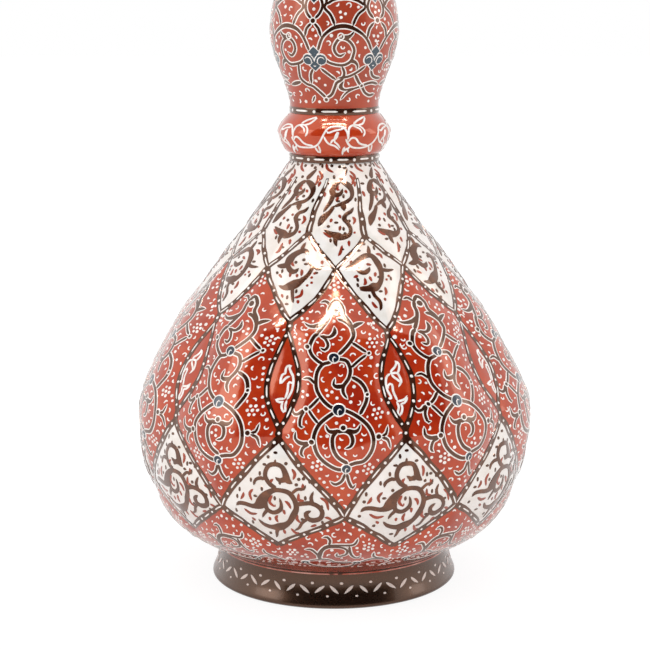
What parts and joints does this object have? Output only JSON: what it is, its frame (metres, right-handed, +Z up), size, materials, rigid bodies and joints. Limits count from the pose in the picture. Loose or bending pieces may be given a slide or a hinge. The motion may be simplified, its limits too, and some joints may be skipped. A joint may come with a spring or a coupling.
{
  "type": "vase",
  "caption": "Long-necked enamelled copper vase: lobed pear-shaped body on a ring foot, with a collar, a bulb and a flared mouth on the neck.",
  "frame": {"origin": "centre of the round face that the foot rests on", "axes": "+Z up along the vase's axis; -Y faces the viewer, towards the middle of one chased lobe"},
  "size_m": [0.1192, 0.1214, 0.2499],
  "materials": {
    "dark_enamel": "dark brown-black vitreous enamel with pale dashes, glossy",
    "body_enamel": "glossy vitreous enamel, red with ivory panels, dark brown bands and white-outlined scrollwork",
    "collar_enamel": "glossy translucent orange-red enamel with a white vine",
    "neck_enamel": "glossy red enamel with dark, white-outlined scrollwork",
    "band_enamel": "dark brown-black enamel with pale dashes, glossy",
    "copper": "bare copper sheet, slightly tarnished"
  },
  "bodies": {
    "root": {"foot_ring": "dark_enamel", "base_disc": "copper", "body_shell": "body_enamel", "lower_joint_band": "band_enamel", "collar_ring": "collar_enamel", "upper_joint_band": "band_enamel", "neck_sleeve": "copper", "neck_bulb": "neck_enamel", "top_joint_band": "band_enamel", "mouth_sleeve": "copper", "mouth_trumpet": "neck_enamel", "rim_wire": "band_enamel"}
  },
  "joints": []
}
